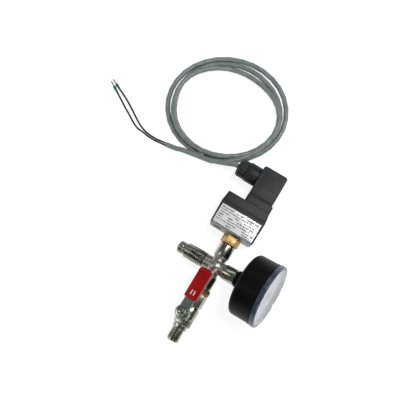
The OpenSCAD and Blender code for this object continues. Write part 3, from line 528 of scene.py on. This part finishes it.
def pick_edges(piece, wanted):
    """Leaves only the wanted edges selected; wanted takes the edge's two ends."""
    for part in (piece.data.polygons, piece.data.edges, piece.data.vertices):
        part.foreach_set("select", [False] * len(part))
    spots = [v.co for v in piece.data.vertices]
    for edge in piece.data.edges:
        edge.select = wanted(spots[edge.vertices[0]], spots[edge.vertices[1]])


def bevel_edges(piece, wanted, width, segments):
    pick_edges(piece, wanted)
    bpy.context.view_layer.objects.active = piece
    bpy.ops.object.mode_set(mode="EDIT")
    bpy.ops.mesh.select_mode(type="EDGE")
    bpy.ops.mesh.bevel(offset=width, segments=segments, affect="EDGES")
    bpy.ops.object.mode_set(mode="OBJECT")


lever_mid = 17.6
sleeve_low, sleeve_high = lever_mid - 2.8, lever_mid + 2.8
sleeve_w = 14
sleeve_near, sleeve_far = 15, 49
sleeve = block("vinyl_sleeve", (-sleeve_w / 2, sleeve_near, sleeve_low),
               (sleeve_w / 2, sleeve_far, sleeve_high))
bevel_edges(sleeve, lambda a, b: a.y > sleeve_far - 1 and b.y > sleeve_far - 1 and abs(a.z - b.z) > 1,
            3.6, 10)
bevel_edges(sleeve, lambda a, b: a.y < sleeve_near + 1 and b.y < sleeve_near + 1 and abs(a.z - b.z) > 1,
            1.2, 4)
round_edges(sleeve, 1.5, 4)
fit(sleeve, STEM, "handle", RED_VINYL, "lever_sleeve")

bars = [block("bar", (x - 0.6, sleeve_near + 4, sleeve_high - 0.05),
              (x + 0.6, sleeve_near + 9, sleeve_high + 0.06)) for x in (-1.6, 1.6)]
marks = join(bars, "sleeve_marks")
round_edges(marks, 0.04)
fit(marks, STEM, "handle", PALE_INK)

# ------------------------------------------------------------ relief valve
# A small spring-loaded valve in nickel-plated brass, screwed into the left arm. Pairs of
# windows let the air out; the cap that sets the spring is locked by a tiny screw.


def spring_steel():
    """Drawn spring wire: dark grey, faintly oily."""
    material, shader, place = new_material("spring_steel", "#5C5C5E", 1, 0.35)
    uneven_gloss(material, shader, place, 1, 0.28, 0.42)
    return material


def rubber_painted_lighter():
    """Black nitrile rubber, matt; painted a lighter grey than it is, as painted light that lifts the shade in
    the recess where the plug's gasket sits.
    """
    material, shader, place = new_material("nitrile_rubber_painted_lighter", "#2B2F31", 0, 0.7)
    mottle(material, shader, place, 1.5, "#272B2D", "#303437")
    return material


SPRING_STEEL = spring_steel()
RUBBER_PAINTED_LIGHTER = rubber_painted_lighter()


def satin_nickel():
    """Nickel plate over a tumbled blank: grey, satin, with soft highlights."""
    material, shader, place = new_material("satin_nickel_plate", "#918F83", 1, 0.32)
    mottle(material, shader, place, 3, "#86857A", "#9C9A8D")
    uneven_gloss(material, shader, place, 1.5, 0.26, 0.38)
    return material


SATIN_NICKEL = satin_nickel()

edged_copy("relief_body", 0.2, SATIN_NICKEL)
edged_copy("relief_lock_screw", 0.08, SPRING_STEEL)

relief_end = 36.4
relief_tip = relief_end + 9
cap_r = 6.4
cap_profile = (
    [(0, relief_end - 3.4), (5.6, relief_end - 3.4), (5.6, relief_end), (cap_r - 0.3, relief_end + 0.1),
     (cap_r, relief_end + 0.5), (cap_r, relief_end + 2.2), (cap_r - 0.35, relief_end + 2.6),
     (cap_r - 0.35, relief_end + 3.2), (cap_r, relief_end + 3.6)]
    + arc((cap_r - 1.5, relief_tip - 1.5), 1.5, 0, 80)
    + [(2.2, relief_tip), (1.8, relief_tip - 0.8), (0, relief_tip - 0.8)]
)
relief_cap = turned("relief_cap_turned", cap_profile)
round_edges(relief_cap, 0.12)
fit(relief_cap, RELIEF, "manifold", SATIN_NICKEL, "relief_cap")

# ------------------------------------------------------------ gauge
# A back-connected pressure gauge: a drawn steel case in satin black, a white dial with
# black marks, a black needle and a clear acrylic lens that snaps over the case's rim.


def black_enamel():
    """Stoved black enamel on drawn steel: satin, with a slight orange peel."""
    material, shader, place = new_material("black_enamel", "#040405", 0, 0.42)
    mottle(material, shader, place, 8, "#040405", "#070708")
    grain(material, shader, place, 0.8, 0.01, 2)
    shader.inputs["Specular IOR Level"].default_value = 0.12
    return material


def dial_white():
    """Screen-printed white on aluminium: bright and even."""
    material, shader, place = new_material("dial_white", "#F2F3F5", 0, 0.5)
    mottle(material, shader, place, 10, "#EEF0F3", "#F6F7F8")
    return material


def dial_black():
    """Matt black printing ink, a shade short of black."""
    material, shader, place = new_material("dial_ink", "#111214", 0, 0.6)
    mottle(material, shader, place, 0.5, "#0E0F11", "#191A1D")
    return material


def clear_acrylic():
    """Moulded acrylic: clear with a cold blue edge, lightly scuffed."""
    material, shader, place = new_material("clear_acrylic", "#E6EEFA", 0, 0.05)
    uneven_gloss(material, shader, place, 3, 0.03, 0.09)
    shader.inputs["Transmission Weight"].default_value = 1.0
    shader.inputs["IOR"].default_value = 1.49
    return material


def rim_acrylic_painted_shade():
    """The lens's thick rim: the same clear acrylic, painted a dark smoky blue as painted shade and reflection
    for how it looks edge on.
    """
    material, shader, place = new_material("acrylic_rim_painted_shade", "#4A5268", 0, 0.18)
    mottle(material, shader, place, 5, "#424A60", "#535C74")
    shader.inputs["Transmission Weight"].default_value = 0.35
    shader.inputs["IOR"].default_value = 1.49
    return material


BLACK_ENAMEL = black_enamel()
RIM_ACRYLIC_PAINTED_SHADE = rim_acrylic_painted_shade()
DIAL_WHITE = dial_white()
DIAL_INK = dial_black()
ACRYLIC = clear_acrylic()

case_back = 34.7
case_front = (dial_centre - cross_centre).length / MM
gauge_front = case_front + 5
case_r = 33
wall = 1.5
neck_start = arm_end + 0.2
case_profile = (
    [(6.2, neck_start), (8.2, neck_start), (8.8, neck_start + 0.6), (8.8, case_back - 1.2),
     (9.6, case_back - 0.2), (10.6, case_back)]
    + arc((case_r - 5, case_back + 5), 5, -90, 0, 8)
    + [(case_r, case_front - 3.2), (case_r + 0.35, case_front - 2.8), (case_r + 0.35, case_front),
       (case_r - wall, case_front)]
    + arc((case_r - 5, case_back + 5), 5 - wall, 0, -90, 8)
    + [(6.2, case_back + wall), (6.2, neck_start)]
)
case = turned("gauge_case_drawn", case_profile, 128)
round_edges(case, 0.2)
fit(case, GAUGE, "manifold", BLACK_ENAMEL, "gauge_case")

ring_r = 34
window_r = 30.4
ring_profile = (
    [(window_r, gauge_front - 0.1), (31.2, gauge_front)]
    + arc((ring_r - 1.5, gauge_front - 1.5), 1.5, 90, 0)
    + [(ring_r, case_front + 0.3), (ring_r - 0.3, case_front + 0.05),
       (case_r - wall + 0.1, case_front + 0.05),
       (case_r - wall + 0.1, gauge_front - 2.4), (window_r, gauge_front - 2.4), (window_r, gauge_front - 0.1)]
)
# The rim is clear acrylic; its dark blue-grey colour is painted shade.
fit(turned("gauge_lens_rim", ring_profile, 128), GAUGE, "manifold", RIM_ACRYLIC_PAINTED_SHADE, "gauge_lens")
window_profile = [(0, gauge_front - 0.3), (24, gauge_front - 0.25), (window_r - 0.02, gauge_front - 0.1),
                  (window_r - 0.02, gauge_front - 2.4), (0, gauge_front - 2.4)]
fit(turned("gauge_lens_window", window_profile, 128), GAUGE, "manifold", ACRYLIC)

dial_top = case_front - 1.3
nodes["gauge_dial"].material_slots[0].material = DIAL_WHITE
edged_copy("gauge_pointer", 0.1, DIAL_INK)

# The scale: 50 divisions over 270 degrees, every tenth long and numbered.
divisions = 50
sweep = 270
zero_at = 225
scale_r = 28
figure_r = 19
strokes = []
for i in range(divisions + 1):
    length, width = (5, 0.7) if i % 10 == 0 else (3.4, 0.45) if i % 5 == 0 else (2.2, 0.3)
    stroke = block("stroke", (scale_r - length, -width / 2, dial_top - 0.02),
                   (scale_r, width / 2, dial_top + 0.06))
    strokes.append(turn_piece(stroke, zero_at - sweep * i / divisions, "Z"))
scale = join(strokes, "dial_scale")
round_edges(scale, 0.02, 1)
fit(scale, GAUGE, "manifold", DIAL_INK)

figures = []
for i in range(6):
    angle = math.radians(zero_at - sweep * i / 5)
    bpy.ops.object.select_all(action="DESELECT")
    bpy.ops.object.text_add()
    figure = bpy.context.object
    figure.data.body = str(2 * i)
    figure.data.size = 6
    figure.data.extrude = 0.03
    figure.data.align_x = figure.data.align_y = "CENTER"
    bpy.ops.object.convert(target="MESH")
    figure = bpy.context.object
    spot = (figure_r * math.cos(angle), figure_r * math.sin(angle), dial_top + 0.03)
    figure.data.transform(Matrix.Translation(spot))
    figures.append(figure)
fit(join(figures, "dial_figures"), GAUGE, "manifold", DIAL_INK)

# ------------------------------------------------------------ switch
# The pressure switch: a grey die-cast base on the brass port, and a housing and cover
# moulded in black glass-filled nylon. A laminated label fills the front.


def grey_diecast():
    """Tumbled zinc die casting: flat grey, fine even grit."""
    material, shader, place = new_material("zinc_diecasting", "#8D9294", 0.55, 0.5)
    mottle(material, shader, place, 1.2, "#84898B", "#979C9E")
    grain(material, shader, place, 0.35, 0.02)
    return material


def black_nylon():
    """Spark-eroded mould texture on glass-filled nylon: near black, matt sheen.

    The texture is drawn coarser than real, so that it shows in the render.
    """
    material, shader, place = new_material("black_nylon", "#101619", 0, 0.5)
    mottle(material, shader, place, 5, "#0E1316", "#141A1E")
    grain(material, shader, place, 0.7, 0.07)
    return material


def label_film():
    """Laminated polyester film: white with a clear glossy top."""
    material, shader, place = new_material("label_film", "#DCDCDC", 0, 0.35)
    mottle(material, shader, place, 7, "#D4D4D5", "#E2E2E1")
    shader.inputs["Coat Weight"].default_value = 0.4
    return material


def label_ink():
    """Dark grey print, softened by the film over it."""
    material, shader, place = new_material("label_ink", "#4C4C4E", 0, 0.4)
    mottle(material, shader, place, 0.5, "#424245", "#5A5A5C")
    return material


DIECAST = grey_diecast()
NYLON = black_nylon()
LABEL_FILM = label_film()
LABEL_INK = label_ink()

edged_copy("base_plate", 0.35, DIECAST)


def grown(piece, at, factor):
    """Scales one end of a block along X, which gives a moulding its draft."""
    for vertex in piece.data.vertices:
        if abs(vertex.co.z - at) < 0.01:
            vertex.co.x = piece["middle"] + (vertex.co.x - piece["middle"]) * factor


def upright(a, b):
    return abs(a.z - b.z) > 1


body_x = -4
body_w, body_d = 49, 34
housing_low, housing_high = 37.1, 62.1
cover_high = 72.5
housing_top_w = 50.6
cover_w, cover_top_w = 50.4, 47.6
shell = block("housing_moulded", (body_x - body_w / 2, -body_d / 2, housing_low),
              (body_x + body_w / 2, body_d / 2, housing_high))
shell["middle"] = body_x
grown(shell, housing_high, housing_top_w / body_w)
bevel_edges(shell, upright, 2.4, 5)
round_edges(shell, 0.2, 2)
del shell["middle"]
fit(shell, SWITCH, "manifold", NYLON, "housing")

lid = block("cover_moulded", (body_x - cover_w / 2, -body_d / 2 + 0.03, housing_high + 0.12),
            (body_x + cover_w / 2, body_d / 2 - 0.03, cover_high))
lid["middle"] = body_x
grown(lid, cover_high, cover_top_w / cover_w)
bevel_edges(lid, upright, 2.4, 5)
round_edges(lid, 0.3, 3)
del lid["middle"]
pedestal_high = 81
plug_x = 4.6
pedestal = block("pedestal", (plug_x - 14, -14, cover_high - 0.6), (plug_x + 15.4, 14, pedestal_high))
bevel_edges(pedestal, upright, 2.4, 5)
round_edges(pedestal, 0.5, 3)
fit(join([lid, pedestal], "cover_moulded"), SWITCH, "manifold", NYLON, "top_cover")
edged_copy("cover_screws", 0.1, ZINC)

label_low, label_high = 37.4, 58
label_front = -body_d / 2 - 0.25
label_half_w = 22.8
print_half_w = 21
film_thick = 0.24
film = block("label_laminate", (body_x - label_half_w, label_front, label_low),
             (body_x + label_half_w, label_front + film_thick, label_high))
bevel_edges(film, lambda a, b: abs(a.y - b.y) > 0.1, 0.8, 4)
fit(film, SWITCH, "manifold", LABEL_FILM, "rating_label")

# The label's print is only short grey bars of chance length: they stand for nothing.
random.seed(7)
rows = 7
row_step = 2.7
prints = []
for row in range(rows):
    z = label_high - 2 - row * row_step
    x = body_x - print_half_w
    while x < body_x + 19:
        length = random.uniform(1.6, 5.5)
        tall = 0.9 if row % 3 else 1.2
        if random.random() < 0.72:
            end = min(x + length, body_x + print_half_w)
            prints.append(block("print", (x, label_front - 0.03, z - tall), (end, label_front + 0.02, z)))
        x += length + random.uniform(0.6, 1.4)
fit(join(prints, "label_print"), SWITCH, "manifold", LABEL_INK)

# ------------------------------------------------------------ cable plug
# A 27.5 mm square right-angle plug in black nylon, held by one middle screw. The cable
# enters through a gland: a barrel moulded on the plug, and a fluted nut that grips it.

plug_low, plug_high = 82.5, 115.5
half = 13.75
hood = block("plug_hood", (plug_x - half, -half, plug_low), (plug_x + half, half, plug_high))
bevel_edges(hood, lambda a, b: abs(a.y - b.y) > 1 and a.z > plug_high - 1, 2.8, 6)
round_edges(hood, 0.9, 4, 40)
ribs = [block("rib", (plug_x - half + 2.5, -half - 0.25, z), (plug_x + half - 2.5, -half + 0.5, z + 0.8))
        for z in [plug_high - 6 - 2.2 * k for k in range(8)]]
rib_set = join(ribs, "ribs")
round_edges(rib_set, 0.2, 2)
gland_z = plug_high - 12
barrel_end = -22.95
barrel_root = half - plug_x - 0.5
barrel_profile = [(7.6, barrel_root), (10.7, barrel_root), (10.7, -barrel_end - 1), (10.2, -barrel_end),
                  (7.6, -barrel_end), (7.6, barrel_root)]
barrel = turned("barrel", barrel_profile)
round_edges(barrel, 0.3)
turn_piece(barrel, -90, "Y")
barrel.data.transform(Matrix.Translation((0, 0, gland_z)))
fit(join([hood, rib_set, barrel], "plug_hood"), SWITCH, "manifold", NYLON, "plug_housing")
edged_copy("plug_screw", 0.1, ZINC)
# The gasket sits in a shaded recess; its rubber is painted lighter than real, as painted light over that
# shade.
edged_copy("plug_gasket", 0.2, RUBBER_PAINTED_LIGHTER)

nut_len = 10.4
nut_r = 9.9
nut_profile = ([(2.95, 0.1), (nut_r - 0.4, 0.1), (nut_r, 0.6), (nut_r, 6.6)]
               + arc((nut_r - 3.2, nut_len - 3.2), 3.2, 0, 75)
               + [(3.6, nut_len), (2.95, nut_len - 0.5), (2.95, 0.1)])
nut = turned("gland_nut_fluted", nut_profile)
flute_count = 12
flute_at = nut_r + 0.35
flute_mid = 4.3
flutes = []
for k in range(flute_count):
    angle = 2 * math.pi * k / flute_count
    bpy.ops.object.select_all(action="DESELECT")
    bpy.ops.mesh.primitive_cylinder_add(vertices=24, radius=1.1, depth=7.4, location=(
        flute_at * math.cos(angle), flute_at * math.sin(angle), flute_mid))
    bpy.ops.object.transform_apply(location=True, rotation=True, scale=True)
    flutes.append(bpy.context.object)
cutter = join(flutes, "flutes")
carve = nut.modifiers.new("carve", "BOOLEAN")
carve.object = cutter
carve.operation = "DIFFERENCE"
apply_modifiers(nut)
bpy.data.objects.remove(cutter)
round_edges(nut, 0.15)
turn_piece(nut, -90, "Y")
nut.data.transform(Matrix.Translation((barrel_end, 0, gland_z)))
fit(nut, SWITCH, "manifold", NYLON, "gland_nut")

# ------------------------------------------------------------ cable
# Grey PVC cable, 5.5 mm across and about 1.2 m long: out of the gland, down to the bench,
# three turns in a loose coil and a short tail where the jacket stops.


def smooth_step(value, low, high):
    t = min(max((value - low) / (high - low), 0), 1)
    return t * t * (3 - 2 * t)


def through(points, steps=6):
    """A smooth line through given points (Catmull-Rom)."""
    points = [Vector(p) for p in points]
    padded = [2 * points[0] - points[1]] + points + [2 * points[-1] - points[-2]]
    line = []
    for i in range(len(points) - 1):
        a, b, c, d = padded[i:i + 4]
        for k in range(steps):
            t = k / steps
            line.append(0.5 * (2 * b + (c - a) * t + (2 * a - 5 * b + 4 * c - d) * t ** 2
                               + (3 * b - a - 3 * c + d) * t ** 3))
    return line + [points[-1]]


def cord_curve(name, line, diameter, material):
    """A round cord along a line in millimetres."""
    curve = bpy.data.curves.new(name, "CURVE")
    curve.dimensions = "3D"
    spline = curve.splines.new("POLY")
    spline.points.add(len(line) - 1)
    for point, spot in zip(spline.points, line):
        point.co = (*(spot * MM), 1)
    curve.bevel_depth = diameter / 2 * MM
    curve.bevel_resolution = 6
    curve.use_fill_caps = True
    piece = bpy.data.objects.new(name, curve)
    bpy.context.scene.collection.objects.link(piece)
    curve.materials.append(material)
    spline.use_smooth = True
    return piece


def grey_pvc():
    """Extruded PVC jacket: cool grey, low sheen, faintly uneven."""
    material, shader, place = new_material("grey_pvc", "#7F8986", 0, 0.32)
    mottle(material, shader, place, 9, "#78827F", "#88928F")
    grain(material, shader, place, 0.7, 0.015)
    return material


def black_pvc():
    """Core insulation: black, waxy."""
    material, shader, place = new_material("black_pvc", "#060606", 0, 0.5)
    mottle(material, shader, place, 3, "#040404", "#090909")
    return material


GREY_PVC = grey_pvc()
BLACK_PVC = black_pvc()

cable_d = 5.5
coil_at = Vector((-91, 140, 0))
coil_turn = math.radians(21)
coil_half = (68.4, 60.6)
coil_start = 240
coil_sweep = 1062
floor_z = cable_d / 2


def near(angle, middle, reach):
    """1 at an angle round the coil, falling to nothing over the reach, in degrees."""
    away = (angle - middle + 180) % 360 - 180
    return math.exp(-(away / reach) ** 2)


def coil_point(swept):
    """A point of the coil after so many degrees; each turn lies in or on the last."""
    theta = coil_start - swept
    a = math.radians(theta)
    inner = smooth_step(swept, 308, 372)
    rise = smooth_step(swept, 610, 690)
    leave = smooth_step(swept, 985, 1080)
    side_gap = 8.3 + 2.2 * near(theta, 40, 35) + 2.3 * near(theta, 180, 26)
    roll = math.radians(110 - 106 * near(theta, 75, 75))
    inset = floor_z + (side_gap - floor_z) * inner
    height = floor_z
    stand_off = cable_d * math.cos(roll) + 1.5 * near(theta, 66, 30)
    over = (side_gap + stand_off, floor_z + cable_d * math.sin(roll))
    inset += (over[0] - side_gap) * rise
    height += (over[1] - floor_z) * rise
    inset -= 9 * leave
    x, y = (coil_half[0] - inset) * math.cos(a), (coil_half[1] - inset) * math.sin(a)
    c, s = math.cos(coil_turn), math.sin(coil_turn)
    return coil_at + Vector((x * c - y * s, x * s + y * c, height))


gland_exit = SWITCH @ Vector((barrel_end - nut_len, 0, gland_z)) / MM
inside = gland_exit + Vector((9, 0, 0))
lead_points = [(-58, 86.2, 13), (-64, 84.4, 10), (-70, 83, 7), (-77, 81.6, 5), (-84, 80.3, 3.5),
               (-91, 79.5, 3)]
tail_points = [(-108, 75.5, 4), (-116, 73.5, 3), (-128, 71.5, 3)]
coil_line = [coil_point(s) for s in range(12, coil_sweep, 12)]
start = [inside, gland_exit, gland_exit - Vector((5, 0.6, 0.8))]
lead_line = through(start + lead_points + [coil_line[0]])[:-1]
tail_line = through([coil_line[-1]] + tail_points)[1:]
cable_line = lead_line + coil_line + tail_line
cable = cord_curve("cable", cable_line, cable_d, GREY_PVC)
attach(cable, "manifold")
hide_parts("cable_lead", "cable_coil", "cable_tail")

# ------------------------------------------------------------ cores and ferrules
# Two black cores, 2 mm, stripped of the jacket. Each ends in a crimped wire ferrule: a
# teal plastic collar and a tinned copper tube.


def teal_polypropylene():
    """Moulded polypropylene collar: clear teal, soft gloss."""
    material, shader, place = new_material("teal_polypropylene", "#1C6F76", 0, 0.4)
    mottle(material, shader, place, 1, "#19656C", "#207981")
    return material


def tinned_copper():
    """Tin plate over copper, dented by the crimp: pale and dull."""
    material, shader, place = new_material("tinned_copper", "#8A8680", 1, 0.45)
    grain(material, shader, place, 0.5, 0.03)
    return material


TEAL = teal_polypropylene()
TINNED = tinned_copper()

core_d = 2
collar_profile = [(1.02, -1.5), (1.3, -1.5), (1.3, 1.2), (1.65, 2.2), (1.65, 4.6), (1.4, 5), (0.7, 5),
                  (0.7, 2), (1.02, 1.2), (1.02, -1.5)]
pin_profile = [(0, 4), (0.7, 4), (0.7, 6), (0.6, 7), (0.68, 8), (0.6, 9), (0.68, 10), (0.7, 11.3),
               (0.5, 11.5), (0, 11.5)]
core_routes = {
    "core_a": [(-128, 72.7, 3), (-134, 72.3, 2), (-141, 71.6, 1.2), (-149, 71.8, 1.2), (-156, 73, 1.2),
               (-164, 76, 1.2), (-171, 80, 1.2), (-178, 84.5, 1.2), (-187, 90, 1.2), (-196, 94.8, 1.2),
               (-207, 100, 1.2)],
    "core_b": [(-128, 70.3, 3), (-134, 70, 2), (-141, 69.4, 1.2), (-149, 69.5, 1.2), (-156, 70.5, 1.2),
               (-165, 71.5, 1.2), (-173.5, 75.5, 1.2), (-181, 80, 1.2), (-189, 84.5, 1.2), (-198, 90, 1.2),
               (-208, 96, 1.2)],
}
for name, route in core_routes.items():
    line = through(route, 4)
    core = cord_curve(name, line, core_d, BLACK_PVC)
    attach(core, "manifold")
    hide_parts("conductors")
    way = (line[-1] - line[-2]).normalized()
    heading = way.to_track_quat("Z", "Y").to_matrix().to_4x4()
    place = Matrix.Scale(MM, 4) @ Matrix.Translation(line[-1]) @ heading
    collar = turned(name + "_collar", collar_profile, 32)
    turned_pin = turned(name + "_pin", pin_profile, 24)
    fit(collar, place, "manifold", TEAL, "ferrule_collars")
    fit(turned_pin, place, "manifold", TINNED, "ferrule_pins")
    length = sum((b - a).length for a, b in zip(line, line[1:])) * MM

# ------------------------------------------------------------ inner pieces
# What the shells hide keeps its CAD shape and gets the finish of its real material, except the brass relief
# poppet: it gets the dark spring steel as painted shade in the relief valve's windows.


def hard_chrome():
    """Chromed and lapped ball: mirror bright."""
    material, shader, place = new_material("hard_chrome", "#D5D6D8", 1, 0.08)
    uneven_gloss(material, shader, place, 2, 0.05, 0.11)
    return material


def ptfe():
    """Machined PTFE: milky white, waxy."""
    material, shader, place = new_material("ptfe", "#ECECE8", 0, 0.45)
    mottle(material, shader, place, 2, "#E6E6E2", "#F0F0EC")
    return material


def brown_phenolic():
    """Compression-moulded phenolic: dark brown, slightly flecked."""
    material, shader, place = new_material("brown_phenolic", "#3E1A12", 0, 0.35)
    mottle(material, shader, place, 0.8, "#35150E", "#4A2017")
    return material


finishes = {
    hard_chrome(): ["valve_ball"],
    ptfe(): ["valve_seats", "stem_packing", "switch_button"],
    brown_phenolic(): ["snap_switch"],
    BRASS: ["gauge_socket", "bourdon_tube", "gauge_link", "gauge_sector", "gauge_arbor",
            "movement_plates"],
    # relief_poppet is brass; the dark steel on it is painted shade, so the relief valve's windows look dark.
    SPRING_STEEL: ["relief_spring", "hairspring", "range_spring", "set_screw_clip", "relief_poppet"],
    RUBBER_PAINTED_LIGHTER: ["relief_seal", "diaphragm", "gland_seal"],
    ZINC: ["dial_screws", "piston", "rocker", "rocker_pin", "spring_plate", "set_screw", "gland_washer"],
    TINNED: ["plug_pins"],
    NYLON: ["terminal_block"],
}
for material, names in finishes.items():
    for name in names:
        nodes[name].material_slots[0].material = material
